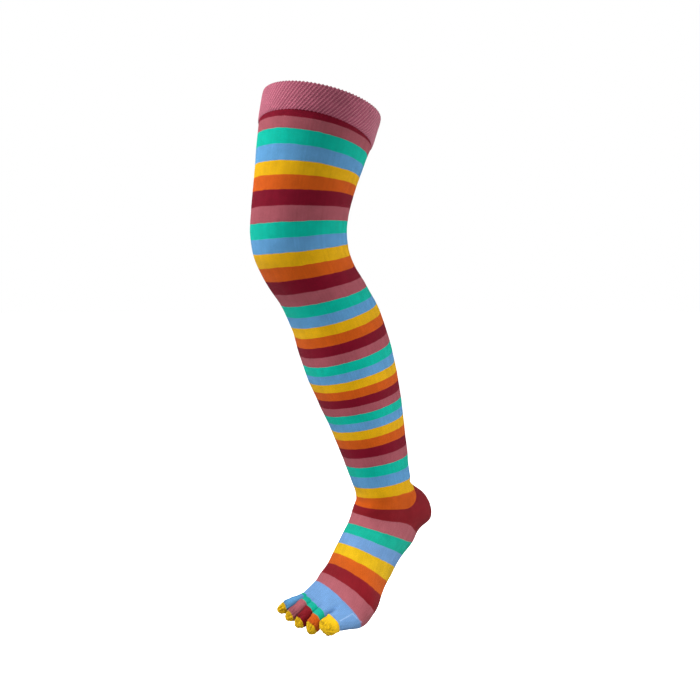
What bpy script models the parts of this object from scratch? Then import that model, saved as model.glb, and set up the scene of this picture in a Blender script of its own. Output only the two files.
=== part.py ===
"""Over-knee toe sock for a right foot, in the form that a bent leg on tiptoe gives it.

Metres, +Z up. The origin is the middle of the top opening. The toes point towards -Y and the
big toe is on the +X side. The sock is one knitted tube of courses, counted in stripes of yarn
from the top edge down, and it is cut into welt, leg, heel, foot and five toe pockets.
"""

from collections import namedtuple
import math

import bmesh
import bpy
import numpy as np

# Walls and gaps
KNIT_WALL = 0.0014
WELT_WALL = 0.0026
PIECE_GAP = 0.0003

# Lengths of the bent leg: how far each stretch goes down, and how far forward or back
THIGH_DROP = 0.170
KNEE_FORWARD = 0.038
SHIN_DROP = 0.3375
ANKLE_BACK = 0.1455
FOOT_DROP = 0.143
FOOT_REACH = 0.116

# Width and depth of the stretched knit where it goes round each part of the leg
THIGH_WIDTH = 0.150
THIGH_DEPTH = 0.156
KNEE_WIDTH = 0.120
KNEE_DEPTH = 0.126
CALF_WIDTH = 0.115
CALF_DEPTH = 0.121
ANKLE_WIDTH = 0.067
ANKLE_DEPTH = 0.083
HEEL_WIDTH = 0.065
HEEL_DEPTH = 0.114
BALL_WIDTH = 0.098
BALL_DEPTH = 0.050
TOE_ROW_WIDTH = 0.091
TOE_ROW_DEPTH = 0.024

# Toe pockets. The four smaller ones start side by side, as slices of one band, and part at its end.
# The last two are shares of a pocket's length: how long it takes to turn from a slice of the toe
# row into its own oval and direction, and where its tip starts to round off
TOE_LENGTH = 0.030
TOE_BAND = 0.0095
TOE_ROOT_SQUARE = 6.0
TOE_TIP_SQUARE = 2.2
TOE_TURNING_SHARE = 0.35
TOE_TIP_SHARE = 0.62

# Mesh fineness
AROUND = 36
WELT_RINGS = 4
LEG_RINGS = 27
HEEL_RINGS = 9
FOOT_RINGS = 14
TOE_AROUND = 16
TOE_RINGS = 8
RING_POWER = 0.8
STRIPE_STEP = 0.02
SHARP_ANGLE = 60.0

# Where one knitted piece ends and the next begins, in stripes from the top edge
WELT_END = 1.05
HEEL_START = 37.0
HEEL_END = 37.9
TOE_ROOTS = 46.0

# The welt's lower edge is highest at this angle round the thigh, in degrees, and arches down on
# both sides of it, by up to twice this many stripes
WELT_CREST = 50.0
WELT_ARCH = 0.45

# The heel cup's edges climb and drop by these many stripes at the back of the heel. They leave the
# level course where the way round points this far backwards, and are all the way there at the next.
# Its upper edge also climbs a little over the front of the ankle, most at this angle
HEEL_GORE_RISE = 1.0
HEEL_GORE_DROP = 0.4
GORE_START_SHARE = 0.0
GORE_FULL_SHARE = 0.8
HEEL_FRONT_RISE = 0.2
HEEL_FRONT_CREST = 130.0

KNIT_ROUGHNESS = 0.9

GIRTHS = {
    "thigh": (THIGH_WIDTH, THIGH_DEPTH),
    "knee": (KNEE_WIDTH, KNEE_DEPTH),
    "calf": (CALF_WIDTH, CALF_DEPTH),
    "ankle": (ANKLE_WIDTH, ANKLE_DEPTH),
    "heel": (HEEL_WIDTH, HEEL_DEPTH),
    "ball": (BALL_WIDTH, BALL_DEPTH),
    "toe_row": (TOE_ROW_WIDTH, TOE_ROW_DEPTH),
}

# A course of the knit. Down and forward are shares of the stretch's drop and reach, side is a
# share of the girth's width, and width, front and back are shares of the girth. Tilt, turn and
# roll are degrees. Square is 2 for an ellipse and more for a boxier course.
Course = namedtuple("Course", "stripe down forward side tilt turn roll girth width front back square")

THIGH = (
    Course(0.0, 0.00, 0.00, 0.00, -15.0, 0, 0, "thigh", 1.00, 1.00, 1.00, 2.0),
    Course(1.0, 0.17, 0.22, 0.00, -14.0, 0, 0, "thigh", 0.975, 0.97, 0.97, 2.0),
    Course(3.0, 0.32, 0.42, 0.00, -12.5, 0, 0, "thigh", 0.935, 0.93, 0.93, 2.0),
    Course(5.0, 0.515, 0.64, 0.00, -7.5, 0, 0, "thigh", 0.87, 0.87, 0.87, 2.0),
    Course(7.0, 0.69, 0.82, 0.00, -2.0, 0, 0, "knee", 1.04, 1.03, 1.03, 2.0),
    Course(9.0, 0.90, 0.99, 0.00, 3.0, 0, 0, "knee", 1.00, 1.00, 1.00, 2.0),
)
SHIN = (
    Course(10.0, 0.00, 0.00, 0.00, 5.7, 0, 0, "knee", 0.985, 0.985, 0.985, 2.0),
    Course(11.0, 0.048, 0.017, 0.00, 8.0, 0, 0, "knee", 0.975, 0.975, 0.975, 2.0),
    Course(13.0, 0.137, 0.12, 0.00, 12.0, 0, 0, "knee", 0.94, 0.94, 0.94, 2.0),
    Course(15.0, 0.22, 0.275, 0.00, 15.5, 0, 0, "calf", 0.955, 0.955, 0.955, 2.0),
    Course(17.0, 0.293, 0.385, 0.00, 18.0, 0, 0, "calf", 0.97, 0.97, 0.97, 2.0),
    Course(20.0, 0.402, 0.50, 0.00, 19.0, 0, 0, "calf", 1.00, 1.00, 1.00, 2.0),
    Course(23.0, 0.513, 0.60, 0.00, 16.5, 0, 0, "calf", 0.965, 0.995, 0.995, 2.0),
    Course(25.0, 0.582, 0.665, 0.00, 15.0, 0, 0, "calf", 0.915, 0.96, 0.96, 2.0),
    Course(27.0, 0.648, 0.725, 0.00, 14.3, 0, 0, "calf", 0.857, 0.915, 0.915, 2.0),
    Course(29.0, 0.715, 0.783, 0.00, 13.5, 0, 0, "calf", 0.793, 0.86, 0.86, 2.0),
    Course(31.0, 0.789, 0.842, 0.00, 12.2, 0, 0, "ankle", 1.25, 1.175, 1.175, 2.0),
    Course(33.0, 0.871, 0.903, 0.00, 10.0, 0, 0, "ankle", 1.13, 1.10, 1.10, 2.0),
    Course(35.0, 0.957, 0.966, 0.00, 7.5, 0, 0, "ankle", 1.02, 1.02, 1.02, 2.05),
)
FOOT = (
    Course(36.0, 0.00, 0.00, 0.00, 6.0, 0, 0, "ankle", 1.00, 1.00, 1.02, 2.1),
    Course(36.5, 0.085, -0.05, -0.02, 1.0, 0, 0, "heel", 0.98, 0.80, 1.08, 2.2),
    Course(37.0, 0.17, -0.075, -0.05, -5.0, 0, -1, "heel", 0.98, 0.90, 1.28, 2.3),
    Course(37.5, 0.245, -0.085, -0.06, -10.0, -1, -2, "heel", 0.97, 0.96, 1.25, 2.3),
    Course(38.0, 0.31, -0.078, -0.07, -15.5, -1, -2, "heel", 0.96, 0.985, 0.95, 2.3),
    Course(39.0, 0.413, 0.025, -0.05, -21.0, -2, -2, "heel", 0.99, 0.91, 0.88, 2.2),
    Course(40.0, 0.495, 0.17, -0.01, -25.0, -2, -1, "heel", 1.05, 0.80, 0.81, 2.2),
    Course(42.0, 0.683, 0.40, 0.04, -34.0, -4, 5, "ball", 0.79, 1.64, 1.64, 2.1),
    Course(44.0, 0.876, 0.65, 0.11, -52.0, -7, 18, "ball", 1.02, 1.08, 1.14, 2.1),
    Course(45.0, 0.957, 0.77, 0.10, -61.5, -8, 24, "ball", 0.965, 0.945, 1.12, 2.1),
    Course(46.0, 0.985, 1.00, 0.08, -76.0, -9, 12, "toe_row", 1.00, 1.00, 1.00, 2.6),
)

# A toe pocket. Inner and outer are its two sides, as shares of the toe row's width from the big
# toe's side. Band is how much of the joined band it starts with, height a share of the row's depth
# and length a share of the toe length. Pitch is how steeply its tip points down and turn how far
# it points outwards, in degrees.
Toe = namedtuple("Toe", "name inner outer band height length pitch turn color")

BURGUNDY = (0.21, 0.012, 0.028)
DUSTY_PINK = (0.51, 0.115, 0.16)
AQUA = (0.005, 0.46, 0.33)
SKY_BLUE = (0.21, 0.42, 0.75)
YELLOW = (0.80, 0.47, 0.006)
ORANGE = (0.75, 0.12, 0.012)

TOES = (
    Toe("big_toe", 0.00, 0.275, 0.0, 0.98, 0.86, 4, -7, YELLOW),
    Toe("second_toe", 0.275, 0.47, 1.0, 0.80, 1.08, 34, 5, ORANGE),
    Toe("third_toe", 0.47, 0.655, 1.0, 0.72, 1.26, 27, 9, BURGUNDY),
    Toe("fourth_toe", 0.655, 0.835, 1.0, 0.68, 1.34, 23, 13, DUSTY_PINK),
    Toe("little_toe", 0.835, 1.00, 1.0, 0.64, 1.36, 18, 18, SKY_BLUE),
)

DOWN = np.array((0.0, 0.0, -1.0))


def placed_courses():
    """Each course's numbers in metres and radians, as rows: stripe, x, y, z, angles, half sizes, square."""
    starts = (
        (THIGH, (0.0, 0.0), THIGH_DROP, KNEE_FORWARD),
        (SHIN, (THIGH_DROP, KNEE_FORWARD), SHIN_DROP, -ANKLE_BACK),
        (FOOT, (THIGH_DROP + SHIN_DROP, KNEE_FORWARD - ANKLE_BACK), FOOT_DROP, FOOT_REACH),
    )
    rows = []
    for courses, (drop, forward), full_drop, full_reach in starts:
        for course in courses:
            width, depth = GIRTHS[course.girth]
            rows.append((
                course.stripe,
                course.side * width,
                -(forward + course.forward * full_reach),
                -(drop + course.down * full_drop),
                math.radians(course.tilt),
                math.radians(course.turn),
                math.radians(course.roll),
                course.width * width / 2,
                course.front * depth / 2,
                course.back * depth / 2,
                course.square,
            ))
    return np.array(rows)


def smooth(table, stripe):
    """The row of the table at this stripe, on a smooth curve through the rows."""
    knots = table[:, 0]
    at = int(np.clip(np.searchsorted(knots, stripe) - 1, 0, len(knots) - 2))
    steps = np.diff(table, axis=0)
    slopes = steps[:, 1:] / steps[:, :1]
    inner = (slopes[:-1] * steps[1:, :1] + slopes[1:] * steps[:-1, :1]) / (steps[:-1, :1] + steps[1:, :1])
    tangents = np.vstack((slopes[:1], inner, slopes[-1:]))
    span = knots[at + 1] - knots[at]
    t = (stripe - knots[at]) / span
    return (
        (2 * t**3 - 3 * t**2 + 1) * table[at, 1:]
        + (t**3 - 2 * t**2 + t) * span * tangents[at]
        + (3 * t**2 - 2 * t**3) * table[at + 1, 1:]
        + (t**3 - t**2) * span * tangents[at + 1]
    )


def course_frame(tilt, turn, roll):
    """The inner side, the front and the way on, at a course that is tilted, turned and rolled."""
    ahead = np.array((math.sin(turn), -math.cos(turn), 0.0))
    side = np.array((math.cos(turn), math.sin(turn), 0.0))
    onward = -ahead * math.sin(tilt) + DOWN * math.cos(tilt)
    front = ahead * math.cos(tilt) + DOWN * math.sin(tilt)
    return (
        side * math.cos(roll) - front * math.sin(roll),
        front * math.cos(roll) + side * math.sin(roll),
        onward,
    )


def oval(angle, half_width, front, back, square):
    """A point of a course in its own plane: sideways and frontwards."""
    across, ahead = math.cos(angle), math.sin(angle)
    power = 2 / square
    half_depth = front if ahead > 0 else back
    return (
        math.copysign(abs(across) ** power, across) * half_width,
        math.copysign(abs(ahead) ** power, ahead) * half_depth,
    )


def sock_point(stripe, angle, inset):
    """A point of the knit, that far inside its outer face.

    Angle 0 is the inner side of the leg and a quarter turn is its front.
    """
    x, y, z, tilt, turn, roll, half_width, front, back, square = smooth(COURSES, stripe)
    side, ahead, _ = course_frame(tilt, turn, roll)
    across, out = oval(angle, half_width - inset, front - inset, back - inset, square)
    return np.array((x, y, z)) + side * across + ahead * out


def welt_bottom(angle):
    """The stripe at which the welt ends."""
    return WELT_END + WELT_ARCH * (1 - math.cos(angle - math.radians(WELT_CREST)))


def gore(angle):
    """How far round the back of the heel this is: 0 over the front and sides, 1 at the very back."""
    share = np.clip((-math.sin(angle) - GORE_START_SHARE) / (GORE_FULL_SHARE - GORE_START_SHARE), 0.0, 1.0)
    return share * share * (3 - 2 * share)


def heel_bottom(angle):
    """The stripe at which the heel cup ends. It reaches further under the back of the foot."""
    return HEEL_END + HEEL_GORE_DROP * gore(angle)


def heel_top(angle):
    """The stripe at which the heel cup starts. It climbs over the back and the front of the ankle."""
    ahead = max(0.0, math.cos(angle - math.radians(HEEL_FRONT_CREST)))
    return HEEL_START - HEEL_GORE_RISE * gore(angle) - HEEL_FRONT_RISE * ahead**2


def beside(edge, angle, offset):
    """The edge moved along the knit by a real distance."""
    stripe = edge(angle) if callable(edge) else edge
    ahead = sock_point(stripe + STRIPE_STEP, angle, 0)
    behind = sock_point(stripe - STRIPE_STEP, angle, 0)
    pace = np.linalg.norm(ahead - behind) / (2 * STRIPE_STEP)
    return stripe + offset / pace


def angles(count):
    return [2 * math.pi * i / count for i in range(count)]


def tube_rings(top, bottom, rings, inset):
    """Rings of points down the sock between two edges."""
    columns = []
    for angle in angles(AROUND):
        start = beside(top, angle, PIECE_GAP / 2)
        end = beside(bottom, angle, -PIECE_GAP / 2)
        step = (end - start) / rings
        columns.append([sock_point(start + step * i, angle, inset) for i in range(rings + 1)])
    return list(zip(*columns))


def skin(mesh, rings):
    """Faces between rings of the same number of points. Returns the rings of vertices."""
    made = [[mesh.verts.new(point) for point in ring] for ring in rings]
    for upper, lower in zip(made[:-1], made[1:]):
        bridge(mesh, upper, lower)
    return made


def bridge(mesh, first, second):
    count = len(first)
    for i in range(count):
        j = (i + 1) % count
        mesh.faces.new((first[i], second[i], second[j], first[j]))


def material(name, color):
    made = bpy.data.materials.new(name)
    made.use_nodes = True
    surface = made.node_tree.nodes["Principled BSDF"]
    surface.inputs["Base Color"].default_value = (*color, 1.0)
    surface.inputs["Roughness"].default_value = KNIT_ROUGHNESS
    surface.inputs["Metallic"].default_value = 0.0
    made.diffuse_color = (*color, 1.0)
    return made


def add_piece(name, mesh, color):
    bmesh.ops.recalc_face_normals(mesh, faces=mesh.faces)
    data = bpy.data.meshes.new(name)
    mesh.to_mesh(data)
    mesh.free()
    data.shade_smooth()
    data.set_sharp_from_angle(angle=math.radians(SHARP_ANGLE))
    data.materials.append(material(name + "_yarn", color))
    piece = bpy.data.objects.new(name, data)
    bpy.context.scene.collection.objects.link(piece)
    return piece


def add_tube(name, top, bottom, rings, wall, color):
    """A stretch of the sock, open at both ends."""
    mesh = bmesh.new()
    outer = skin(mesh, tube_rings(top, bottom, rings, 0.0))
    inner = skin(mesh, tube_rings(top, bottom, rings, wall))
    bridge(mesh, outer[0], inner[0])
    bridge(mesh, outer[-1], inner[-1])
    return add_piece(name, mesh, color)


def toe_rings(toe, inset):
    """Rings of points along one toe pocket, from its root to just before its tip, and the tip."""
    x, y, z, tilt, turn, roll, half_width, front, back, row_square = smooth(COURSES, TOE_ROOTS)
    side, ahead, onward = course_frame(tilt, turn, roll)
    middle = half_width * (1 - toe.inner - toe.outer)
    half = half_width * (toe.outer - toe.inner) - PIECE_GAP / 2
    deep = (front + back) / 2 * toe.height
    length = TOE_LENGTH * toe.length
    band = TOE_BAND * toe.band / length
    root = np.array((x, y, z)) + side * middle + onward * PIECE_GAP / 2
    aim = course_frame(-math.pi / 2 + math.radians(toe.pitch), -math.radians(toe.turn), roll)
    rings = []
    for i in range(TOE_RINGS):
        share = (i / TOE_RINGS) ** RING_POWER
        own = float(np.clip((share - band) / TOE_TURNING_SHARE, 0.0, 1.0))
        here_side = side + (aim[0] - side) * own
        here_ahead = ahead + (aim[1] - ahead) * own
        here = root + (onward + (aim[2] - onward) * share) * (length - inset) * share
        fall = max(0.0, (share - TOE_TIP_SHARE) / (1 - TOE_TIP_SHARE))
        size = math.sqrt(1 - fall**2)
        square = TOE_ROOT_SQUARE + (TOE_TIP_SQUARE - TOE_ROOT_SQUARE) * own
        ring = []
        for angle in angles(TOE_AROUND):
            across, out = oval(angle, 1.0, 1.0, 1.0, square)
            in_row = min(1.0, abs(middle + across * half) / half_width)
            slice_height = (front if out > 0 else back) * (1 - in_row**row_square) ** (1 / row_square)
            height = max(slice_height * (1 - own) + deep * size * own - inset, inset)
            ring.append(here + here_side * across * (half * size - inset) + here_ahead * out * height)
        rings.append(ring)
    return rings, root + aim[2] * (length - inset)


def add_toe(toe):
    """A toe pocket, open at its root."""
    mesh = bmesh.new()
    roots = []
    for inset in (0.0, KNIT_WALL):
        rings, tip = toe_rings(toe, inset)
        made = skin(mesh, rings)
        end = mesh.verts.new(tip)
        for i in range(TOE_AROUND):
            mesh.faces.new((made[-1][i], end, made[-1][(i + 1) % TOE_AROUND]))
        roots.append(made[0])
    bridge(mesh, roots[0], roots[1])
    return add_piece(toe.name, mesh, toe.color)


for old in list(bpy.data.objects):
    bpy.data.objects.remove(old, do_unlink=True)

COURSES = placed_courses()
add_tube("welt", 0.0, welt_bottom, WELT_RINGS, WELT_WALL, DUSTY_PINK)
add_tube("leg", welt_bottom, heel_top, LEG_RINGS, KNIT_WALL, AQUA)
add_tube("heel", heel_top, heel_bottom, HEEL_RINGS, KNIT_WALL, BURGUNDY)
add_tube("foot", heel_bottom, TOE_ROOTS, FOOT_RINGS, KNIT_WALL, SKY_BLUE)
for each_toe in TOES:
    add_toe(each_toe)
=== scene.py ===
"""Over-knee toe sock in striped cotton knit, in its worn form: slightly bent and on tiptoe.

Metres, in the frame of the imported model: +Z up, toes towards -Y, the big toe on the +X side.
"""

from collections import namedtuple
import math

import bpy
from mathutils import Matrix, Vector, noise
import numpy as np


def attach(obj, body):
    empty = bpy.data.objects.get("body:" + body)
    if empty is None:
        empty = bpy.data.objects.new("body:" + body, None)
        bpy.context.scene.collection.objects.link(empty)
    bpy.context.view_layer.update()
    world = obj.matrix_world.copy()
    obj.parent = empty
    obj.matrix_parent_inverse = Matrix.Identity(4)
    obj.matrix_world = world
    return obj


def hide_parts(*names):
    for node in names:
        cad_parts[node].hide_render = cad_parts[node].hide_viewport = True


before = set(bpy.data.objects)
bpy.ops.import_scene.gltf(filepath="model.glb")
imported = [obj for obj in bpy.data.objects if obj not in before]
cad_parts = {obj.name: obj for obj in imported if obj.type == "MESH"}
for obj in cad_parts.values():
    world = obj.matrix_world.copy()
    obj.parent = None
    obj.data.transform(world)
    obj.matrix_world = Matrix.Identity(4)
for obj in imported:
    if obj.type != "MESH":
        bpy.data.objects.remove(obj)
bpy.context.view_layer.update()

MM = 0.001

# Sizes of the sock
KNIT_WALL = 1.4 * MM
WELT_WALL = 2.6 * MM
THIGH_DROP = 0.170
KNEE_FORWARD = 0.038
SHIN_DROP = 0.3375
ANKLE_BACK = 0.1455
FOOT_DROP = 0.143
FOOT_REACH = 0.116
GIRTHS = {
    "thigh": (0.150, 0.156),
    "knee": (0.120, 0.126),
    "calf": (0.115, 0.121),
    "ankle": (0.067, 0.083),
    "heel": (0.065, 0.114),
    "ball": (0.098, 0.050),
    "toe_row": (0.091, 0.024),
}
TOE_LENGTH = 0.030
TOE_BAND = 9.5 * MM
TOE_TIP_SQUARE = 2.2
TOE_TURNING_SHARE = 0.35
TOE_TIP_SHARE = 0.62

# Where one knitted piece ends and the next begins, in stripes from the top edge
WELT_END = 1.05
WELT_CREST = math.radians(50)
WELT_ARCH = 0.45
HEEL_START = 37.0
HEEL_END = 37.9
TOE_ROOTS = 46.0
HEEL_GORE_RISE = 1.0
HEEL_GORE_DROP = 0.4
GORE_FULL_SHARE = 0.8
HEEL_FRONT_RISE = 0.2
HEEL_FRONT_CREST = math.radians(130)

# A course of the knit. Down and forward are shares of the stretch's drop and reach, side is a
# share of the girth's width, and width, front and back are shares of the girth. Tilt, turn and
# roll are degrees. Square is 2 for an ellipse and more for a boxier course.
Course = namedtuple("Course", "stripe down forward side tilt turn roll girth width front back square")

THIGH = (
    Course(0.0, 0.00, 0.00, 0.00, -15.0, 0, 0, "thigh", 1.00, 1.00, 1.00, 2.0),
    Course(1.0, 0.17, 0.22, 0.00, -14.0, 0, 0, "thigh", 0.975, 0.97, 0.97, 2.0),
    Course(3.0, 0.32, 0.42, 0.00, -12.5, 0, 0, "thigh", 0.935, 0.93, 0.93, 2.0),
    Course(5.0, 0.515, 0.64, 0.00, -7.5, 0, 0, "thigh", 0.87, 0.87, 0.87, 2.0),
    Course(7.0, 0.69, 0.82, 0.00, -2.0, 0, 0, "knee", 1.04, 1.03, 1.03, 2.0),
    Course(9.0, 0.90, 0.99, 0.00, 3.0, 0, 0, "knee", 1.00, 1.00, 1.00, 2.0),
)
SHIN = (
    Course(10.0, 0.00, 0.00, 0.00, 5.7, 0, 0, "knee", 0.985, 0.985, 0.985, 2.0),
    Course(11.0, 0.048, 0.017, 0.00, 8.0, 0, 0, "knee", 0.975, 0.975, 0.975, 2.0),
    Course(13.0, 0.137, 0.12, 0.00, 12.0, 0, 0, "knee", 0.94, 0.94, 0.94, 2.0),
    Course(15.0, 0.22, 0.275, 0.00, 15.5, 0, 0, "calf", 0.955, 0.955, 0.955, 2.0),
    Course(17.0, 0.293, 0.385, 0.00, 18.0, 0, 0, "calf", 0.97, 0.97, 0.97, 2.0),
    Course(20.0, 0.402, 0.50, 0.00, 19.0, 0, 0, "calf", 1.00, 1.00, 1.00, 2.0),
    Course(23.0, 0.513, 0.60, 0.00, 16.5, 0, 0, "calf", 0.965, 0.995, 0.995, 2.0),
    Course(25.0, 0.582, 0.665, 0.00, 15.0, 0, 0, "calf", 0.915, 0.96, 0.96, 2.0),
    Course(27.0, 0.648, 0.725, 0.00, 14.3, 0, 0, "calf", 0.857, 0.915, 0.915, 2.0),
    Course(29.0, 0.715, 0.783, 0.00, 13.5, 0, 0, "calf", 0.793, 0.86, 0.86, 2.0),
    Course(31.0, 0.789, 0.842, 0.00, 12.2, 0, 0, "ankle", 1.25, 1.175, 1.175, 2.0),
    Course(33.0, 0.871, 0.903, 0.00, 10.0, 0, 0, "ankle", 1.13, 1.10, 1.10, 2.0),
    Course(35.0, 0.957, 0.966, 0.00, 7.5, 0, 0, "ankle", 1.02, 1.02, 1.02, 2.05),
)
FOOT = (
    Course(36.0, 0.00, 0.00, 0.00, 6.0, 0, 0, "ankle", 1.00, 1.00, 1.02, 2.1),
    Course(36.5, 0.085, -0.05, -0.02, 1.0, 0, 0, "heel", 0.98, 0.80, 1.08, 2.2),
    Course(37.0, 0.17, -0.075, -0.05, -5.0, 0, -1, "heel", 0.98, 0.90, 1.28, 2.3),
    Course(37.5, 0.245, -0.085, -0.06, -10.0, -1, -2, "heel", 0.97, 0.96, 1.25, 2.3),
    Course(38.0, 0.31, -0.078, -0.07, -15.5, -1, -2, "heel", 0.96, 0.985, 0.95, 2.3),
    Course(39.0, 0.413, 0.025, -0.05, -21.0, -2, -2, "heel", 0.99, 0.91, 0.88, 2.2),
    Course(40.0, 0.495, 0.17, -0.01, -25.0, -2, -1, "heel", 1.05, 0.80, 0.81, 2.2),
    Course(42.0, 0.683, 0.40, 0.04, -34.0, -4, 5, "ball", 0.79, 1.64, 1.64, 2.1),
    Course(44.0, 0.876, 0.65, 0.11, -52.0, -7, 18, "ball", 1.02, 1.08, 1.14, 2.1),
    Course(45.0, 0.957, 0.77, 0.10, -61.5, -8, 24, "ball", 0.965, 0.945, 1.00, 2.1),
    Course(45.5, 0.978, 0.885, 0.093, -69.0, -8, 18, "ball", 0.955, 0.71, 0.66, 2.3),
    Course(46.0, 0.992, 1.00, 0.09, -76.0, -9, 12, "toe_row", 1.02, 1.00, 1.12, 2.6),
)

# Dyed combed cotton, as it looks in soft daylight
MAUVE = "#984A5F"
# Painted highlight: the mauve made paler, for the crests of the welt's cords
MAUVE_HIGHLIGHT = "#B8747F"
PINK = "#A0525C"
BURGUNDY = "#770A23"
AQUA = "#00B39C"
BLUE = "#5B97C8"
YELLOW = "#DEA90C"
ORANGE = "#C85613"

# The same yarns on the foot, in colours of their own that differ a little from the leg's, with the
# yellow of the toes' caps and the pale blue painted along the linking line as its highlight
FOOT_PINK = "#AA5C65"
FOOT_BURGUNDY = "#831822"
FOOT_AQUA = "#10AB92"
FOOT_BLUE = "#6D99CC"
FOOT_YELLOW = "#DCB016"
FOOT_ORANGE = "#C95A18"
CAP_YELLOW = "#EDBE18"
LINKING_HIGHLIGHT_BLUE = "#9CBCE6"

# One yarn to a stripe down the heel and the foot, from this stripe on
FOOT_YARNS_START = 35
FOOT_YARNS = (
    FOOT_BURGUNDY, FOOT_BURGUNDY, FOOT_BURGUNDY,
    FOOT_PINK, FOOT_AQUA, FOOT_BLUE, FOOT_YELLOW, FOOT_ORANGE,
    FOOT_BURGUNDY, FOOT_PINK, FOOT_BLUE, FOOT_BLUE,
)

# A toe pocket. Inner and outer are its two sides, as shares of the toe row's width from the big
# toe's side. Band is how much of the joined band it starts with, height a share of the row's depth
# and length a share of the toe length. Pitch is how steeply its tip points down and turn how far
# it points outwards, in degrees. It starts in the foot's blue and changes to the base's yarn, the
# main one and the tip's yellow at these distances from its root.
Toe = namedtuple(
    "Toe", "name inner outer band height length pitch turn base base_from main main_from tip_from")

TOES = (
    Toe("big_toe", 0.00, 0.275, 0.0, 0.80, 0.68, 16, -4,
        CAP_YELLOW, 2.2 * MM, CAP_YELLOW, 10 * MM, 16 * MM),
    Toe("second_toe", 0.275, 0.47, 1.0, 0.80, 1.08, 34, 5,
        FOOT_AQUA, 5.5 * MM, FOOT_ORANGE, 13.8 * MM, 23.8 * MM),
    Toe("third_toe", 0.47, 0.655, 1.0, 0.72, 1.26, 27, 9,
        FOOT_AQUA, 5.0 * MM, FOOT_BURGUNDY, 13.0 * MM, 29.6 * MM),
    Toe("fourth_toe", 0.655, 0.835, 1.0, 0.68, 1.34, 23, 13,
        FOOT_AQUA, 3.5 * MM, FOOT_PINK, 10.9 * MM, 32.0 * MM),
    Toe("little_toe", 0.835, 1.00, 1.0, 0.64, 1.36, 18, 18,
        FOOT_AQUA, 0.8 * MM, BLUE, 4.7 * MM, 29.8 * MM),
)

# The knit: needles in the cylinder, courses in a stripe, the leg's repeat of six yarns, the size of
# a toe's stitches, and how steep and how round the two legs of each V are
NEEDLES = 168
STRIPE_COURSES = 14
REPEAT = (ORANGE, BURGUNDY, PINK, AQUA, BLUE, YELLOW)
TOE_STITCH = 1.35 * MM
TOE_COURSE = 1.0 * MM
STITCH_LEAN = 0.8
STITCH_ROUNDNESS = 0.6

# The leg's course number at these stripes. The burgundy under the welt ends early, and from stripe
# 35 on every change of yarn comes a tenth of a stripe late.
LEG_COUNT = ((0, 14), (1.75, 28), (3, 42), (34, 476), (35, 488.6), (46, 642.6))

# Round the heel a change of yarn is level at this angle, higher than that by up to this many
# stripes away from it, and lower by this many under the back. It is so for stripes this near.
HEEL_LINE_LEVEL = math.radians(42)
HEEL_LINE_CLIMB = 0.25
HEEL_LINE_SINK = 0.6
NEAR_HEEL = ((36.0, 0), (37.5, 1), (38.3, 1), (39.0, 0))

# Unevenness, as the size of its lumps, the seed and the height of each. A knit swells where it is
# pulled unevenly, in metres, and its courses drift, in courses.
Lump = namedtuple("Lump", "size seed height")
WELT_SWELLS = (Lump(22 * MM, 6, 0.3 * MM),)
LEG_SWELLS = (Lump(26 * MM, 1, 0.6 * MM), Lump(7 * MM, 5, 0.16 * MM))
HEEL_SWELLS = (Lump(18 * MM, 2, 0.5 * MM), Lump(6 * MM, 7, 0.15 * MM))
LEG_DRIFT = (Lump(30 * MM, 3, 0.5), Lump(6 * MM, 8, 0.35))
FOOT_DRIFT = (Lump(22 * MM, 4, 0.5), Lump(6 * MM, 9, 0.35))

# The welt: leaning cords of two twisted plies. Its stripe is the length of leg that one stripe
# takes up under it.
RIBS = 96
RIB_LEAN = math.radians(34)
RIB_HEIGHT = 0.6 * MM
CORD_SHARPNESS = 1.3
PLY_TWIST = 1.9 * MM
PLY_SHARE = 0.65
WELT_STRIPE = 29 * MM

# Its folded edges: how far it rounds over and bulges from them, what is left of the cords there, and
# the notches that the cords make in them. The hem rounds over more gently than the rim.
EDGE_REACH = 1.8 * MM
EDGE_RELIEF = 0.35
RIM_ROLL = 1.1 * MM
HEM_BULGE = 1.1 * MM
BULGE_REACH = 7 * MM
BULGE_FULLNESS = 0.4
NOTCH_DEPTH = 1.3 * MM
NOTCH_REACH = 3 * MM
HEM_SOFTNESS = 2.0
HEM_OVERHANG = 0.15
HEM_CLEARANCE = 0.35 * MM

# Dents between the toes: the toe before it, how deep and wide it is, and the stripes between which
# it deepens. A stripe is as long as this beyond the roots, and no dent takes away more than this
# share of the depth.
Dent = namedtuple("Dent", "toe depth width start full")
DENTS = (
    Dent(0, 9.5 * MM, 2.7 * MM, 45.3, 46.1),
    Dent(1, 3.6 * MM, 2.4 * MM, 45.7, 46.9),
    Dent(2, 3.6 * MM, 2.4 * MM, 45.7, 46.9),
    Dent(3, 3.6 * MM, 2.4 * MM, 45.6, 46.9),
)
ROOT_STRIPE = 14 * MM
DENT_LIMIT = 0.8

# A toe pocket's mesh: how its rows are spread along it, how square the slice is that it starts as,
# how early that begins to turn, the least height of it, and what share of the size the tip keeps
TOE_ROWS = 84
TOE_COLUMNS = 96
TOE_ROW_POWER = 0.85
TOE_SLICE_SQUARE = 26.0
SLICE_OVERLAP = 0.02
TIP_STUB = 0.004
SLICE_LEAST = 0.2 * MM

# Seeds of its unevenness, to which the toe's number is added
CREASE_SEED = 10
SLACK_SEED = 20
DRIFT_SEED = 30
GATHER_SEED = 40

# Its folds, between these shares of its length. Gathers run towards the tip, creases any way.
FOLDS_START = 0.40
FOLDS_FULL = 0.88
FOLD_DEPTH = 1.9 * MM
FOLD_PUFF = 0.5 * MM
GATHER_SIZE = 0.42
GATHER_LENGTH = 1.2
GATHER_SHARPNESS = 7
CREASE_SIZE = 5 * MM
CREASE_SHARE = 0.6
CREASE_SHARPNESS = 8
CLOSING_SHARE = 0.10
CLOSING_ROUNDNESS = 0.7
SLACK_SIZE = 9 * MM
SLACK_HEIGHT = 0.45 * MM
SLACK_START = 0.25
SLACK_FULL = 0.5

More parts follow.
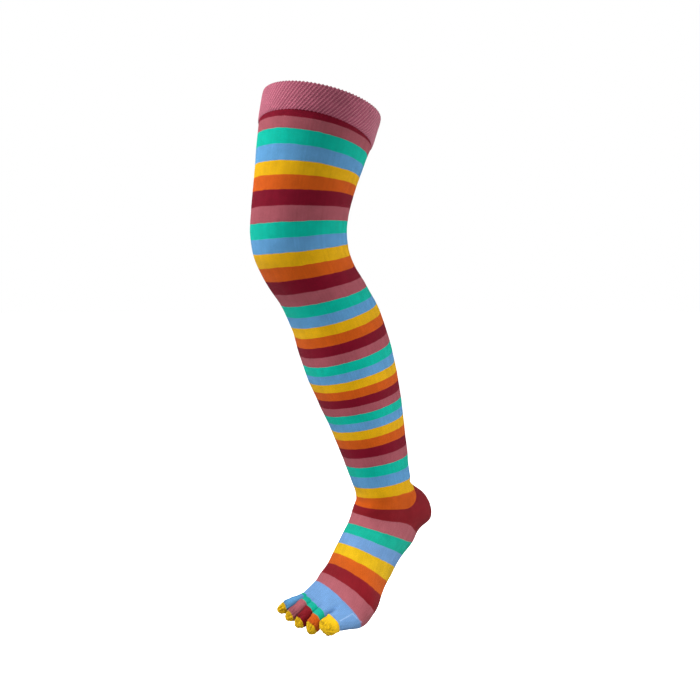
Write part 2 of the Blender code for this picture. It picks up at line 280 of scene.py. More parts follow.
# How its courses drift, between these shares of its length, and how many courses its colours reach
# past its root and past its tip
TOE_DRIFT_SIZE = 6 * MM
TOE_DRIFT = 0.8
TOE_DRIFT_START = 0.3
TOE_DRIFT_FULL = 0.6
COURSES_BEFORE = 1.5
COURSES_BEYOND = 2.0

# The linking line beside the big toe, as stripes and degrees round the foot
LINKING_LINE = ((45.9, 28), (45.5, 34), (45.15, 38), (45.12, 26), (45.0, 8), (45.0, -20))
LINKING_WIDTH = 0.6 * MM
LINKING_HEIGHT = 0.3 * MM

# How much darker or lighter the yarn is painted, from one end of each cause to the other: from needle
# to needle, as its own tone; from the hollow of a stitch to its crest, as painted shade and a painted
# highlight; and from open knit to the depth of a fold, as painted shade
WALE_TONE = (0.96, 1.04)
STITCH_SHADE_AND_HIGHLIGHT = (0.60, 1.10)
FOLD_PAINTED_SHADE = (1.0, 0.55)

# The same from fibre to fibre, with the size of the spots, for the knit and for the welt's rib. The
# last of each three is the fuzz that roughens the face.
KNIT_FIBRES = (0.9 * MM, 0.90, 1.10)
KNIT_CLOUDS = (12 * MM, 0.94, 1.06)
KNIT_FUZZ = (0.5 * MM, 0.0, 0.35)
RIB_FIBRES = (1.5 * MM, 0.80, 1.20)
RIB_CLOUDS = (12 * MM, 0.93, 1.07)
RIB_FUZZ = (0.8 * MM, 0.0, 1.0)

# The rib's cords get a painted highlight from the first of these shares of their height up to the
# crest, and painted shade from the second one down to the furrow, as far as this tone
HIGHLIGHT_FROM = 0.35
SHADE_FROM = 0.4
DARKEST_FURROW_SHADE = 0.88

# The noise hardly ever leaves this range
NOISE_LOW = 0.3
NOISE_HIGH = 0.7

# How strong and how deep the bumps in the face are, and how much light the loose fibre catches
KNIT_BUMP = (0.6, 0.5 * MM)
RIB_BUMP = (0.5, 0.4 * MM)
KNIT_SHEEN = 0.03
RIB_SHEEN = 0.2

# Edges that turn by more than this stay crisp
SHARP_EDGE = math.radians(65)

DOWN = np.array((0.0, 0.0, -1.0))


def placed_courses():
    """A row of each course's numbers, in metres and radians.

    They are its stripe, x, y, z, tilt, turn, roll, half width, front, back and square.
    """
    starts = (
        (THIGH, (0.0, 0.0), THIGH_DROP, KNEE_FORWARD),
        (SHIN, (THIGH_DROP, KNEE_FORWARD), SHIN_DROP, -ANKLE_BACK),
        (FOOT, (THIGH_DROP + SHIN_DROP, KNEE_FORWARD - ANKLE_BACK), FOOT_DROP, FOOT_REACH),
    )
    rows = []
    for courses, (drop, forward), full_drop, full_reach in starts:
        for course in courses:
            width, depth = GIRTHS[course.girth]
            rows.append((
                course.stripe,
                course.side * width,
                -(forward + course.forward * full_reach),
                -(drop + course.down * full_drop),
                math.radians(course.tilt),
                math.radians(course.turn),
                math.radians(course.roll),
                course.width * width / 2,
                course.front * depth / 2,
                course.back * depth / 2,
                course.square,
            ))
    return np.array(rows)


COURSES = placed_courses()


def courses_at(stripes):
    """The table's numbers at these stripes, on a smooth curve through its rows."""
    knots = COURSES[:, 0]
    steps = np.diff(COURSES, axis=0)
    slopes = steps[:, 1:] / steps[:, :1]
    before, after = steps[:-1, :1], steps[1:, :1]
    inner = (slopes[:-1] * after + slopes[1:] * before) / (before + after)
    tangents = np.vstack((slopes[:1], inner, slopes[-1:]))
    at = np.clip(np.searchsorted(knots, stripes) - 1, 0, len(knots) - 2)
    span = (knots[at + 1] - knots[at])[..., None]
    t = (stripes[..., None] - knots[at][..., None]) / span
    return (
        (2 * t**3 - 3 * t**2 + 1) * COURSES[at, 1:]
        + (t**3 - 2 * t**2 + t) * span * tangents[at]
        + (3 * t**2 - 2 * t**3) * COURSES[at + 1, 1:]
        + (t**3 - t**2) * span * tangents[at + 1]
    )


def course_frame(tilt, turn, roll):
    """The inner side, the front and the way on, at courses that are tilted, turned and rolled."""
    tilt, turn, roll = (np.asarray(a, float)[..., None] for a in (tilt, turn, roll))
    flat = np.zeros_like(turn)
    ahead = np.concatenate((np.sin(turn), -np.cos(turn), flat), axis=-1)
    side = np.concatenate((np.cos(turn), np.sin(turn), flat), axis=-1)
    onward = -ahead * np.sin(tilt) + DOWN * np.cos(tilt)
    front = ahead * np.cos(tilt) + DOWN * np.sin(tilt)
    return (
        side * np.cos(roll) - front * np.sin(roll),
        front * np.cos(roll) + side * np.sin(roll),
        onward,
    )


def power(value, exponent):
    return np.sign(value) * np.abs(value) ** exponent


def smoothstep(value, start, full):
    share = np.clip((value - start) / (full - start), 0, 1)
    return share * share * (3 - 2 * share)


def dent(across, half_width, stripes):
    """How deep the dents between the toes press in here."""
    depth = 0.0
    for each in DENTS:
        line = half_width * (1 - 2 * TOES[each.toe].outer)
        here = each.depth * smoothstep(stripes, each.start, each.full)
        depth = depth + here * np.exp(-(((across - line) / each.width) ** 2))
    return depth


def sock_points(stripes, angles):
    """Points of the outer face."""
    found = courses_at(stripes)
    middle = found[..., :3]
    tilt, turn, roll, half_width, front, back, square = np.moveaxis(found[..., 3:], -1, 0)
    side, ahead, _ = course_frame(tilt, turn, roll)
    across = power(np.cos(angles), 2 / square) * half_width
    out = power(np.sin(angles), 2 / square) * np.where(np.sin(angles) > 0, front, back)
    out = out - np.sign(out) * np.minimum(dent(across, half_width, stripes), np.abs(out) * DENT_LIMIT)
    return middle + side * across[..., None] + ahead * out[..., None]


def gore(angles):
    """How far round the back of the heel this is: 0 over the front and sides, 1 at the very back."""
    return smoothstep(-np.sin(angles), 0.0, GORE_FULL_SHARE)


def welt_bottom(angles):
    return WELT_END + WELT_ARCH * (1 - np.cos(angles - WELT_CREST))


def heel_top(angles):
    ahead = np.maximum(0, np.cos(angles - HEEL_FRONT_CREST))
    return HEEL_START - HEEL_GORE_RISE * gore(angles) - HEEL_FRONT_RISE * ahead**2


def heel_bottom(angles):
    return HEEL_END + HEEL_GORE_DROP * gore(angles)


def level(stripe):
    return lambda angles: np.full_like(angles, stripe)


def wander(points, size, seed):
    """Smooth noise from -1 to 1 at these points, with lumps of this size."""
    flat = points.reshape(-1, 3) / size
    shift = Vector((seed * 7.3, seed * 3.1, seed * 5.7))
    values = [noise.noise(Vector(p) + shift) for p in flat]
    return np.array(values).reshape(points.shape[:-1])


def uneven(points, lumps):
    """The sum of these lumps at each point."""
    return sum(wander(points, lump.size, lump.seed) * lump.height for lump in lumps)


def unit(vectors):
    """The same directions, each with a length of one."""
    return vectors / np.maximum(np.linalg.norm(vectors, axis=-1, keepdims=True), 1e-12)


def outward(points):
    """The way out of the knit at each point of a skin. Its rows run down, its columns round."""
    round_step = np.roll(points, -1, axis=1) - np.roll(points, 1, axis=1)
    down_step = np.gradient(points, axis=0)
    return unit(np.cross(round_step, down_step))


def wales_round(points, count):
    """The number of the wale at each point, by its real distance round the piece.

    It has one column more than the points, for the way back to the first.
    """
    closed = np.concatenate((points, points[:, :1]), axis=1)
    lengths = np.linalg.norm(np.diff(closed, axis=1), axis=-1)
    run = np.concatenate((np.zeros((len(points), 1)), np.cumsum(lengths, axis=1)), axis=1)
    return run / run[:, -1:] * count


def wrap(values):
    """The same rows with the first column again at their end."""
    return np.concatenate((values, values[:, :1]), axis=1)


def knitted_piece(name, points, wales, courses, material, tube, extras=None):
    """A mesh from rows of points.

    A tube's last row joins its first, and a pocket's two end rows are closed.
    """
    rows, columns = points.shape[:2]
    number = np.arange(rows * columns).reshape(rows, columns)
    upper = number if tube else number[:-1]
    lower = np.roll(number, -1, axis=0) if tube else number[1:]
    quads = np.stack((upper, np.roll(upper, -1, axis=1), np.roll(lower, -1, axis=1), lower), axis=-1)
    faces = quads.reshape(-1, 4).tolist()
    upper_uv = np.stack((wales, courses), axis=-1)
    lower_uv = np.roll(upper_uv, -1, axis=0)
    if not tube:
        upper_uv, lower_uv = upper_uv[:-1], lower_uv[:-1]
    corners = (upper_uv[:, :-1], upper_uv[:, 1:], lower_uv[:, 1:], lower_uv[:, :-1])
    uv = np.stack(corners, axis=2).reshape(-1, 2)
    if not tube:
        faces += [number[0, ::-1].tolist(), number[-1].tolist()]
        first = np.stack((wales[0, :-1][::-1], courses[0, :-1][::-1]), axis=-1)
        last = np.stack((wales[-1, :-1], courses[-1, :-1]), axis=-1)
        uv = np.concatenate((uv, first, last))
    mesh = bpy.data.meshes.new(name)
    mesh.from_pydata(points.reshape(-1, 3).tolist(), [], faces)
    mesh.uv_layers.new(name="Stitches").data.foreach_set("uv", uv.astype(np.float32).ravel())
    for key, values in (extras or {}).items():
        layer = mesh.attributes.new(key, "FLOAT", "POINT")
        layer.data.foreach_set("value", np.asarray(values, np.float32).ravel())
    mesh.shade_smooth()
    mesh.set_sharp_from_angle(angle=SHARP_EDGE)
    mesh.materials.append(material)
    piece = bpy.data.objects.new(name, mesh)
    bpy.context.scene.collection.objects.link(piece)
    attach(piece, "root")
    return piece


def tube_grid(top, bottom, rows, columns):
    """Stripes and angles of a stretch of the sock between two edges."""
    angles = np.arange(columns) * 2 * math.pi / columns
    share = np.linspace(0, 1, rows)[:, None]
    stripes = top(angles)[None, :] * (1 - share) + bottom(angles)[None, :] * share
    return stripes, np.broadcast_to(angles, stripes.shape)


def along(points):
    """The way down the knit at each point."""
    return unit(np.gradient(points, axis=0))


def add_tube(
        name, node, top, bottom, wall, material, relief, course_number,
        rows, columns, inner_every):
    """A stretch of the sock, open at both ends, with an outer face in relief and a plain inner one.

    Relief gives how far out and how far down each point of the outer face moves, and what the
    material reads there besides the stitches.
    """
    stripes, angles = tube_grid(top, bottom, rows, columns)
    plain = sock_points(stripes, angles)
    out = outward(plain)
    raised, lowered, marks = relief(stripes, angles, plain)
    outer = plain + out * raised[..., None] + along(plain) * lowered[..., None]
    keep = list(range(0, rows - 1, inner_every)) + [rows - 1]
    inner = (plain - out * wall(stripes, angles)[..., None])[keep][::-1]
    wales = wales_round(plain, NEEDLES)
    courses = wrap(course_number(stripes, angles, plain))
    piece = knitted_piece(
        name,
        np.concatenate((outer, inner)),
        np.concatenate((wales, wales[keep][::-1])),
        np.concatenate((courses, courses[keep][::-1])),
        material,
        tube=True,
        extras={key: np.concatenate((values, values[keep][::-1])) for key, values in marks.items()},
    )
    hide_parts(node)


def knit_wall(stripes, angles):
    return np.full_like(stripes, KNIT_WALL)


def welt_wall(stripes, angles):
    """The folded band's wall. Its hem hangs a little over the leg, just clear of it."""
    over_leg = stripes > welt_bottom(angles) - HEM_OVERHANG / 4
    return np.where(over_leg, -HEM_CLEARANCE, WELT_WALL)


def hem(angles):
    return welt_bottom(angles) + HEM_OVERHANG


def welt_relief(stripes, angles, plain):
    """Twisted cords that lean to the right, a soft bulge, a rolled rim and a serrated hem."""
    height = stripes * WELT_STRIPE
    to_hem = (hem(angles) - stripes) * WELT_STRIPE / HEM_SOFTNESS
    radius = GIRTHS["thigh"][0] / 2
    turn = (angles - height * math.tan(RIB_LEAN) / radius) * RIBS
    cord = (0.5 + 0.5 * np.cos(turn)) ** CORD_SHARPNESS
    plies = 0.5 + 0.5 * np.cos(height * 2 * math.pi / PLY_TWIST + turn / 2)
    crest = cord * (1 - PLY_SHARE + PLY_SHARE * plies)
    edge = np.minimum(height, to_hem)
    rounding = np.sqrt(np.clip(edge / EDGE_REACH, 0, 1))
    relief = EDGE_RELIEF + (1 - EDGE_RELIEF) * rounding
    bulge = HEM_BULGE * np.clip(edge / BULGE_REACH, 0, 1) ** BULGE_FULLNESS
    rolled = RIM_ROLL * (1 - rounding) * np.clip(1 - height / NOTCH_REACH, 0, 1)
    raised = (crest * RIB_HEIGHT + bulge) * relief - rolled + uneven(plain, WELT_SWELLS) * rounding
    notches = np.clip(1 - edge / NOTCH_REACH, 0, 1) * (cord - 0.5) * NOTCH_DEPTH
    lowered = np.where(height < to_hem, -notches, notches)
    return raised, lowered, {"crest": crest * relief}


def leg_relief(stripes, angles, plain):
    """Slight swells where the knit is pulled unevenly."""
    raised = uneven(plain, LEG_SWELLS)
    return raised, np.zeros_like(raised), {}


def heel_relief(stripes, angles, plain):
    raised = uneven(plain, HEEL_SWELLS)
    return raised, np.zeros_like(raised), {}


def foot_relief(stripes, angles, plain):
    """Slight swells, and the raised linking line beside the big toe."""
    raised, lowered, _ = heel_relief(stripes, angles, plain)
    corners = [(s, math.radians(a)) for s, a in LINKING_LINE]
    line = sock_points(np.array([c[0] for c in corners]), np.array([c[1] for c in corners]))
    nearest = np.full(stripes.shape, 1.0)
    for first, last in zip(line[:-1], line[1:]):
        run = last - first
        share = np.clip(((plain - first) @ run) / (run @ run), 0, 1)
        away = np.linalg.norm(plain - first - share[..., None] * run, axis=-1)
        nearest = np.minimum(nearest, away)
    seam = np.exp(-((nearest / LINKING_WIDTH) ** 2))
    # The line's mask also paints a pale highlight along it
    return raised + seam * LINKING_HEIGHT, lowered, {"seam": seam}


def leg_courses(stripes, angles, plain):
    """Course numbers down the leg."""
    return np.interp(stripes, *zip(*LEG_COUNT)) + uneven(plain, LEG_DRIFT)


def foot_courses(stripes, angles, plain):
    """Course numbers down the foot. The heel's own end higher at its front and lower under it."""
    climb = HEEL_LINE_CLIMB * np.sin(angles - HEEL_LINE_LEVEL) ** 2 - HEEL_LINE_SINK * gore(angles)
    near_heel = np.interp(stripes, *zip(*NEAR_HEEL))
    return (stripes + climb * near_heel) * STRIPE_COURSES + uneven(plain, FOOT_DRIFT)


def welt_courses(stripes, angles, plain):
    return stripes * WELT_STRIPE / MM


def toe_skin(toe, rows, columns, inset):
    """Rows of points along one toe pocket, from its root to its tip.

    It starts as a slice of the toe row and turns into its own oval past the joined band.
    """
    found = courses_at(np.array(TOE_ROOTS))
    x, y, z, tilt, turn, roll, half_width, front, back, square = found
    side, ahead, onward = course_frame(tilt, turn, roll)
    middle = half_width * (1 - toe.inner - toe.outer)
    half = half_width * (toe.outer - toe.inner)
    deep = (front + back) / 2 * toe.height
    length = TOE_LENGTH * toe.length
    band = TOE_BAND * toe.band / length
    aim = course_frame(-math.pi / 2 + math.radians(toe.pitch), -math.radians(toe.turn), roll)
    angles = np.arange(columns) * 2 * math.pi / columns
    root = np.array((x, y, z)) + side * middle
    shares = np.linspace(0, 1, rows) ** TOE_ROW_POWER
    rings = []
    for share in shares:
        own = smoothstep(share, band - SLICE_OVERLAP, band + TOE_TURNING_SHARE)
        here_side = side + (aim[0] - side) * own
        here_ahead = ahead + (aim[1] - ahead) * own
        here = root + (onward + (aim[2] - onward) * share) * (length - inset) * share
        fall = max(0.0, (share - TOE_TIP_SHARE) / (1 - TOE_TIP_SHARE))
        size = math.sqrt(max(0.0, 1 - fall**2)) + TIP_STUB
        boxy = TOE_TIP_SQUARE + (TOE_SLICE_SQUARE - TOE_TIP_SQUARE) * (1 - own) ** 3
        reach = (np.abs(np.cos(angles)) ** boxy + np.abs(np.sin(angles)) ** boxy) ** (1 / boxy)
        across = np.cos(angles) / reach
        out = np.sin(angles) / reach
        at = np.clip((middle + across * half) / half_width, -1, 1)
        row_height = (1 - np.abs(at) ** square) ** (1 / square) * np.where(out > 0, front, back)
        pressed = dent(at * half_width, half_width, TOE_ROOTS + share * length / ROOT_STRIPE)
        row_height = row_height - np.minimum(pressed, row_height * DENT_LIMIT)
        row_height = np.maximum(row_height, SLICE_LEAST)
        height = (row_height * (1 - own) + deep * own - inset) * size
        across_here = across * (half * size - inset)
        rings.append(here + np.outer(across_here, here_side) + np.outer(out * height, here_ahead))
    return np.array(rings), shares, angles


def add_toe(toe, number):
    """A toe pocket: knit that narrows and puckers towards its tip."""
    plain, shares, angles = toe_skin(toe, TOE_ROWS, TOE_COLUMNS, 0.0)
    out = outward(plain)
    down = shares[:, None]
    closing = np.clip((1 - down) / CLOSING_SHARE, 0, 1) ** CLOSING_ROUNDNESS
    folding = smoothstep(down, FOLDS_START, FOLDS_FULL) * closing
    round_and_down = np.stack(np.broadcast_arrays(
        np.cos(angles)[None, :], np.sin(angles)[None, :], down * GATHER_LENGTH), axis=-1)
    gathers = 1 - np.abs(wander(round_and_down, GATHER_SIZE, GATHER_SEED + number))
    creases = 1 - np.abs(wander(plain, CREASE_SIZE, CREASE_SEED + number))
    gathered = gathers**GATHER_SHARPNESS + CREASE_SHARE * creases**CREASE_SHARPNESS
    fold = np.clip(gathered, 0, 1) * folding
    slack = wander(plain, SLACK_SIZE, SLACK_SEED + number) * SLACK_HEIGHT * closing
    slack = slack * smoothstep(down, SLACK_START, SLACK_FULL)
    raised = FOLD_PUFF * folding - FOLD_DEPTH * fold + slack
    outer = plain + out * raised[..., None]
    inside, inner_shares, _ = toe_skin(toe, TOE_ROWS // 3, TOE_COLUMNS, KNIT_WALL)

    girth = np.linalg.norm(np.diff(wrap(plain), axis=1), axis=-1).sum(axis=1).max()
    count = round(girth / TOE_STITCH)
    full_count = TOE_LENGTH * toe.length / TOE_COURSE
    drift = wander(plain, TOE_DRIFT_SIZE, DRIFT_SEED + number) * TOE_DRIFT
    drift = drift * smoothstep(down, TOE_DRIFT_START, TOE_DRIFT_FULL)
    courses = wrap(down * full_count + drift)
    inner_courses = wrap(np.broadcast_to(inner_shares[::-1, None] * full_count, inside.shape[:2]))
    first = -COURSES_BEFORE
    span = full_count + COURSES_BEFORE + COURSES_BEYOND
    changes = (
        (0.0, FOOT_BLUE),
        (toe.base_from, toe.base),
        (toe.main_from, toe.main),
        (toe.tip_from, CAP_YELLOW),
    )
    stops = [((place / TOE_COURSE - first) / span if place else 0.0, yarn) for place, yarn in changes]
    # The depth of its folds goes to the material as well, which paints shade into them
    piece = knitted_piece(
        toe.name + "_pocket",
        np.concatenate((inside[::-1], outer)),
        np.concatenate((wales_round(inside[::-1], count), wales_round(plain, count))),
        np.concatenate((inner_courses, courses)),
        jersey(toe.name + "_jersey", stops, first, span),
        tube=False,
        extras={"fold": np.concatenate((np.zeros(inside.shape[:2]), fold))},
    )
    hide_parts(toe.name)


def linear(hex_colour):
    """An sRGB hex colour as linear light."""
    shares = [int(hex_colour[i:i + 2], 16) / 255 for i in (1, 3, 5)]
    return [s / 12.92 if s <= 0.04045 else ((s + 0.055) / 1.055) ** 2.4 for s in shares] + [1.0]


def add_node(tree, kind, settings=None, links=None):
    """A node with its settings, by name, and its links.

    A setting named in_ and a number is that input's value. A link goes from an input's name or
    number to another node's output.
    """
    made = tree.nodes.new(kind)
    for key, value in (settings or {}).items():
        if key.startswith("in_"):
            made.inputs[int(key[3:])].default_value = value
        else:
            setattr(made, key, value)
    for key, source in (links or {}).items():
        tree.links.new(source, made.inputs[key])
    return made


def fibre_tone(tree, size, low, high):
    """Lightness that varies from spot to spot of this size, in the sock's own space.

    Single fibres are too fine to show, so each spot stands for a tuft of them.
    """
    space = add_node(tree, "ShaderNodeTexCoord")
    cloud = add_node(
        tree, "ShaderNodeTexNoise", {"in_2": 1 / size, "in_3": 3.0}, {0: space.outputs["Object"]})
    tone = add_node(
        tree, "ShaderNodeMapRange",
        {"in_1": NOISE_LOW, "in_2": NOISE_HIGH, "in_3": low, "in_4": high},
        {0: cloud.outputs[0]})
    return tone.outputs[0]


def product(tree, *factors):
    """All these values multiplied."""
    result = factors[0]
    for factor in factors[1:]:
        step = add_node(tree, "ShaderNodeMath", {"operation": "MULTIPLY"}, {0: result, 1: factor})
        result = step.outputs[0]
    return result


def jersey(name, stops, first, span, seam_highlight_colour=None):
    """Combed cotton plated on nylon, knitted plain: rows of small V stitches, matt, a little hairy.

    The eye gets fine upright lines where the wales meet, in bump and painted shade, flat dyed colour
    that changes from stripe to stripe along the stitches' own zigzag, and painted shade in the hollows
    between the stitches with a painted highlight on their crests. Deep in a toe's folds the colour is
    darkened as painted shade.
    """
    material = bpy.data.materials.new(name)
    material.use_nodes = True
    tree = material.node_tree
    tree.nodes.clear()
    math_node = "ShaderNodeMath"

    uv = add_node(tree, "ShaderNodeUVMap", {"uv_map": "Stitches"})
    place = add_node(tree, "ShaderNodeSeparateXYZ", links={0: uv.outputs[0]})
    wale, course = place.outputs[0], place.outputs[1]
    in_wale = add_node(tree, math_node, {"operation": "FRACT"}, {0: wale})
    off_middle = add_node(
        tree, math_node, {"operation": "SUBTRACT", "in_1": 0.5}, {0: in_wale.outputs[0]})
    aside = add_node(tree, math_node, {"operation": "ABSOLUTE"}, {0: off_middle.outputs[0]})
    twice = add_node(tree, math_node, {"operation": "MULTIPLY", "in_1": 2.0}, {0: aside.outputs[0]})
    lean = add_node(
        tree, math_node, {"operation": "MULTIPLY", "in_1": -STITCH_LEAN}, {0: twice.outputs[0]})
    slanted = add_node(tree, math_node, {"operation": "ADD"}, {0: course, 1: lean.outputs[0]})

    half_turn = add_node(
        tree, math_node, {"operation": "MULTIPLY", "in_1": math.pi}, {0: slanted.outputs[0]})
    swell = add_node(tree, math_node, {"operation": "SINE"}, {0: half_turn.outputs[0]})
    loop = add_node(tree, math_node, {"operation": "ABSOLUTE"}, {0: swell.outputs[0]})
    side_turn = add_node(
        tree, math_node, {"operation": "MULTIPLY", "in_1": math.pi}, {0: twice.outputs[0]})
    side_swell = add_node(tree, math_node, {"operation": "SINE"}, {0: side_turn.outputs[0]})
    leg = add_node(
        tree, math_node, {"operation": "POWER", "in_1": STITCH_ROUNDNESS},
        {0: side_swell.outputs[0]})
    stitch = add_node(
        tree, math_node, {"operation": "MULTIPLY"}, {0: loop.outputs[0], 1: leg.outputs[0]})

    from_first = add_node(
        tree, math_node, {"operation": "SUBTRACT", "in_1": first}, {0: slanted.outputs[0]})
    share = add_node(tree, math_node, {"operation": "DIVIDE", "in_1": span}, {0: from_first.outputs[0]})
    repeat = add_node(tree, math_node, {"operation": "FRACT"}, {0: share.outputs[0]})
    yarns = add_node(tree, "ShaderNodeValToRGB", links={0: repeat.outputs[0]})
    ramp = yarns.color_ramp
    ramp.interpolation = "CONSTANT"
    for at, (position, colour) in enumerate(stops):
        element = ramp.elements[at] if at < 2 else ramp.elements.new(position)
        element.position = position
        element.color = linear(colour)
    colour = yarns.outputs[0]

    # Painted highlight along the raised linking line: the yarn's colour turned pale blue there
    if seam_highlight_colour:
        seam = add_node(tree, "ShaderNodeAttribute", {"attribute_name": "seam"})
        colour = add_node(
            tree, "ShaderNodeMix", {"data_type": "RGBA", "in_7": linear(seam_highlight_colour)},
            {0: seam.outputs["Fac"], 6: colour}).outputs[2]

    # No two needles pull alike, so each wale is a little darker or lighter than the next
    wale_number = add_node(tree, math_node, {"operation": "FLOOR"}, {0: wale})
    pull = add_node(
        tree, "ShaderNodeTexWhiteNoise", {"noise_dimensions": "1D"}, {"W": wale_number.outputs[0]})
    # The depth of a toe's folds, for the painted shade in them
    fold = add_node(tree, "ShaderNodeAttribute", {"attribute_name": "fold"})
    # The hollows of the stitches get painted shade and their crests a painted highlight, and a toe's
    # folds painted shade, besides each wale's own tone
    tones_and_shading = [
        add_node(tree, "ShaderNodeMapRange", {"in_3": low, "in_4": high}, {0: cause}).outputs[0]
        for (low, high), cause in (
            (STITCH_SHADE_AND_HIGHLIGHT, stitch.outputs[0]),
            (WALE_TONE, pull.outputs[0]),
            (FOLD_PAINTED_SHADE, fold.outputs["Fac"]),
        )
    ]
    tone = product(tree, *tones_and_shading, fibre_tone(tree, *KNIT_FIBRES), fibre_tone(tree, *KNIT_CLOUDS))
    toned_and_shaded = add_node(tree, "ShaderNodeHueSaturation", {}, {"Value": tone, "Color": colour})

    fuzz = fibre_tone(tree, *KNIT_FUZZ)
    height = add_node(tree, math_node, {"operation": "ADD"}, {0: stitch.outputs[0], 1: fuzz})
    strength, depth = KNIT_BUMP
    bump = add_node(
        tree, "ShaderNodeBump", {"in_0": strength, "in_1": depth}, {"Height": height.outputs[0]})
    finish_cloth(tree, toned_and_shaded.outputs[0], bump.outputs[0], KNIT_SHEEN)
    return material


def finish_cloth(tree, colour, normal, sheen):
    """The matt surface of both knits: hardly any gloss, and some light caught in loose fibre."""
    surface = add_node(tree, "ShaderNodeBsdfPrincipled", {}, {"Base Color": colour, "Normal": normal})
    surface.inputs["Roughness"].default_value = 0.92
    surface.inputs["IOR"].default_value = 1.5
    surface.inputs["Specular IOR Level"].default_value = 0.06
    surface.inputs["Sheen Weight"].default_value = sheen
    surface.inputs["Sheen Roughness"].default_value = 0.5
    add_node(tree, "ShaderNodeOutputMaterial", {}, {0: surface.outputs[0]})


def twisted_rib(name):
    """Covered elastic knitted as a twisted rib: raised leaning cords with painted shade in the furrows.

    The cords themselves are in the mesh. The eye gets the plies of yarn across them and a painted
    highlight on the crests.
    """
    material = bpy.data.materials.new(name)
    material.use_nodes = True
    tree = material.node_tree
    tree.nodes.clear()
    # Painted highlight on the cords' crests and painted shade in their furrows, by their height
    crest = add_node(tree, "ShaderNodeAttribute", {"attribute_name": "crest"})
    crest_highlight = add_node(
        tree, "ShaderNodeMapRange", {"in_1": HIGHLIGHT_FROM, "in_2": 1.0}, {0: crest.outputs["Fac"]})
    yarn = add_node(
        tree, "ShaderNodeMix",
        {"data_type": "RGBA", "in_6": linear(MAUVE), "in_7": linear(MAUVE_HIGHLIGHT)},
        {0: crest_highlight.outputs[0]})
    furrow_shade = add_node(
        tree, "ShaderNodeMapRange", {"in_2": SHADE_FROM, "in_3": DARKEST_FURROW_SHADE},
        {0: crest.outputs["Fac"]})
    tone = product(
        tree, furrow_shade.outputs[0], fibre_tone(tree, *RIB_FIBRES), fibre_tone(tree, *RIB_CLOUDS))
    toned_and_shaded = add_node(tree, "ShaderNodeHueSaturation", {}, {"Value": tone, "Color": yarn.outputs[2]})
    fuzz = fibre_tone(tree, *RIB_FUZZ)
    strength, depth = RIB_BUMP
    bump = add_node(tree, "ShaderNodeBump", {"in_0": strength, "in_1": depth}, {"Height": fuzz})
    finish_cloth(tree, toned_and_shaded.outputs[0], bump.outputs[0], RIB_SHEEN)
    return material


def add_sock():
    add_tube(
        "ribbed_welt", "welt", level(0.0), hem,
        welt_wall, twisted_rib("mauve_twisted_rib"), welt_relief, welt_courses,
        rows=60, columns=880, inner_every=4)
    leg_stops = [(i / len(REPEAT), yarn) for i, yarn in enumerate(REPEAT)]
    leg_knit = jersey("striped_jersey", leg_stops, 0.0, STRIPE_COURSES * len(REPEAT))
    add_tube(
        "striped_leg", "leg", welt_bottom, heel_top,
        knit_wall, leg_knit, leg_relief, leg_courses,
        rows=400, columns=180, inner_every=5)
    foot_stops = [(i / len(FOOT_YARNS), yarn) for i, yarn in enumerate(FOOT_YARNS)]
    foot_start, foot_span = FOOT_YARNS_START * STRIPE_COURSES, STRIPE_COURSES * len(FOOT_YARNS)
    heel_knit = jersey("heel_jersey", foot_stops, foot_start, foot_span)
    add_tube(
        "heel_cup", "heel", heel_top, heel_bottom,
        knit_wall, heel_knit, heel_relief, foot_courses,
        rows=90, columns=180, inner_every=4)
    foot_knit = jersey(
        "striped_foot_jersey", foot_stops, foot_start, foot_span, seam_highlight_colour=LINKING_HIGHLIGHT_BLUE)
    add_tube(
        "striped_foot", "foot", heel_bottom, level(TOE_ROOTS),
        knit_wall, foot_knit, foot_relief, foot_courses,
        rows=200, columns=280, inner_every=5)
    for number, toe in enumerate(TOES):
        add_toe(toe, number)


# The camera looks level from in front of the inner side, 50 degrees round from the front
CAMERA_TURN = math.radians(50)
CAMERA_DISTANCE = 1.400
EYE_LINE = Vector((0.0, 0.0468, -0.2511))
TOWARDS_CAMERA = Vector((math.sin(CAMERA_TURN), -math.cos(CAMERA_TURN), 0.0))
CAMERA_RIGHT = Vector((math.cos(CAMERA_TURN), math.sin(CAMERA_TURN), 0.0))
PICTURE = 700
FOCAL_PIXELS = 1060.6
EYE_PIXEL = 300
SENSOR = 36.0

# A softbox: what it lights, where it stands from there, as metres to the camera's right, towards
# the camera and up, its size and its watts
Softbox = namedtuple("Softbox", "name target right towards up width height watts")
LEG_MIDDLE = Vector((0.0, 0.06, -0.35))
SHIN_MIDDLE = Vector((0.0, 0.08, -0.50))
ANKLE_MIDDLE = Vector((0.0, 0.10, -0.52))
SOFTBOXES = (
    Softbox("upper_left_softbox", LEG_MIDDLE, -1.3, 0.4, 1.2, 0.8, 1.2, 39),
    Softbox("left_softbox", LEG_MIDDLE, -1.6, 0.0, 0.1, 0.8, 1.8, 14.5),
    Softbox("right_softbox", LEG_MIDDLE, 1.5, -0.3, 0.1, 0.8, 1.8, 19),
    Softbox("upper_right_softbox", LEG_MIDDLE, 1.3, 0.2, 1.2, 0.8, 1.2, 10),
    Softbox("front_softbox", SHIN_MIDDLE, 0.05, 0.95, 0.0, 0.5, 0.6, 2.2),
    Softbox("ankle_softbox", ANKLE_MIDDLE, 0.05, 0.4, 0.0, 0.25, 0.3, 0.9),
)
UP = Vector((0.0, 0.0, 1.0))

# The surround is white to the camera and lights the sock from all round with this share of it
SURROUND_FILL = 0.22
FLOOR_HEIGHT = -0.80
FLOOR_REACH = 40.0


def add_camera():
    lens = bpy.data.cameras.new("camera")
    lens.sensor_width = SENSOR
    lens.lens = FOCAL_PIXELS / PICTURE * SENSOR
    lens.shift_y = (EYE_PIXEL - PICTURE / 2) / PICTURE
    camera = bpy.data.objects.new("camera", lens)
    camera.location = EYE_LINE + TOWARDS_CAMERA * CAMERA_DISTANCE
    camera.rotation_euler = (math.pi / 2, 0, CAMERA_TURN)
    bpy.context.scene.collection.objects.link(camera)
    bpy.context.scene.camera = camera


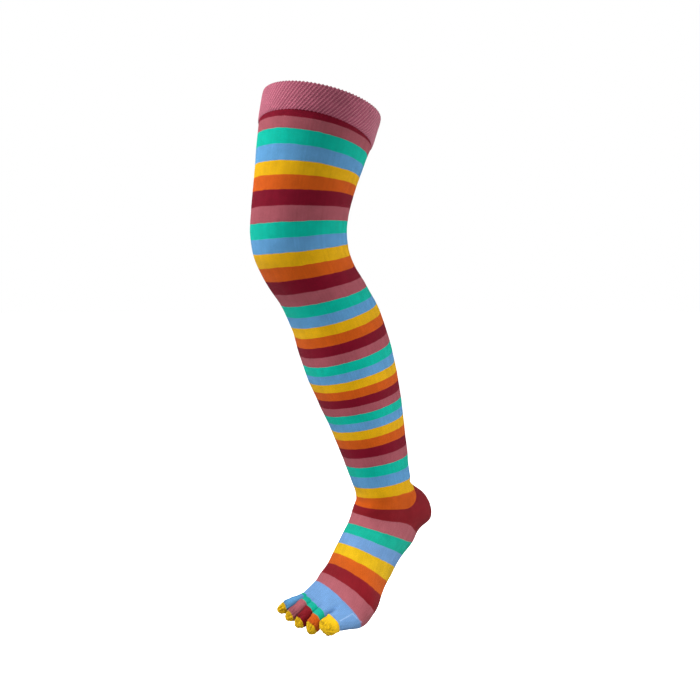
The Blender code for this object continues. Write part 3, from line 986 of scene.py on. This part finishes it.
def add_light(box):
    lamp = bpy.data.lights.new(box.name, "AREA")
    lamp.shape = "RECTANGLE"
    lamp.size = box.width
    lamp.size_y = box.height
    lamp.energy = box.watts
    away = CAMERA_RIGHT * box.right + TOWARDS_CAMERA * box.towards + UP * box.up
    light = bpy.data.objects.new(box.name, lamp)
    light.location = box.target + away
    light.rotation_euler = (-away).to_track_quat("-Z", "Y").to_euler()
    bpy.context.scene.collection.objects.link(light)


def add_studio():
    """A white floor that runs out into a white surround, and softboxes at the sides and in front."""
    corners = ((-1, -1), (1, -1), (1, 1), (-1, 1))
    mesh = bpy.data.meshes.new("floor")
    mesh.from_pydata(
        [(x * FLOOR_REACH, y * FLOOR_REACH, FLOOR_HEIGHT) for x, y in corners], [], [(0, 1, 2, 3)])

    # Smooth white paper, matt and so bright that its far edge melts into the surround
    paper = bpy.data.materials.new("white_paper")
    paper.use_nodes = True
    surface = paper.node_tree.nodes["Principled BSDF"]
    surface.inputs["Base Color"].default_value = linear("#F4F4F4")
    surface.inputs["Roughness"].default_value = 0.9
    surface.inputs["Emission Color"].default_value = linear("#FFFFFF")
    surface.inputs["Emission Strength"].default_value = 1.0
    mesh.materials.append(paper)
    floor = bpy.data.objects.new("floor", mesh)
    floor.visible_diffuse = False
    floor.visible_glossy = False
    bpy.context.scene.collection.objects.link(floor)

    world = bpy.data.worlds.new("surround")
    world.use_nodes = True
    tree = world.node_tree
    tree.nodes.clear()
    path = add_node(tree, "ShaderNodeLightPath")
    seen = add_node(
        tree, "ShaderNodeMapRange", {"in_3": SURROUND_FILL, "in_4": 1.0},
        {0: path.outputs["Is Camera Ray"]})
    sky = add_node(tree, "ShaderNodeBackground", {"in_0": linear("#FFFFFF")}, {1: seen.outputs[0]})
    add_node(tree, "ShaderNodeOutputWorld", {}, {0: sky.outputs[0]})
    bpy.context.scene.world = world

    for box in SOFTBOXES:
        add_light(box)
    bpy.context.scene.view_settings.view_transform = "Standard"


add_sock()
add_studio()
add_camera()
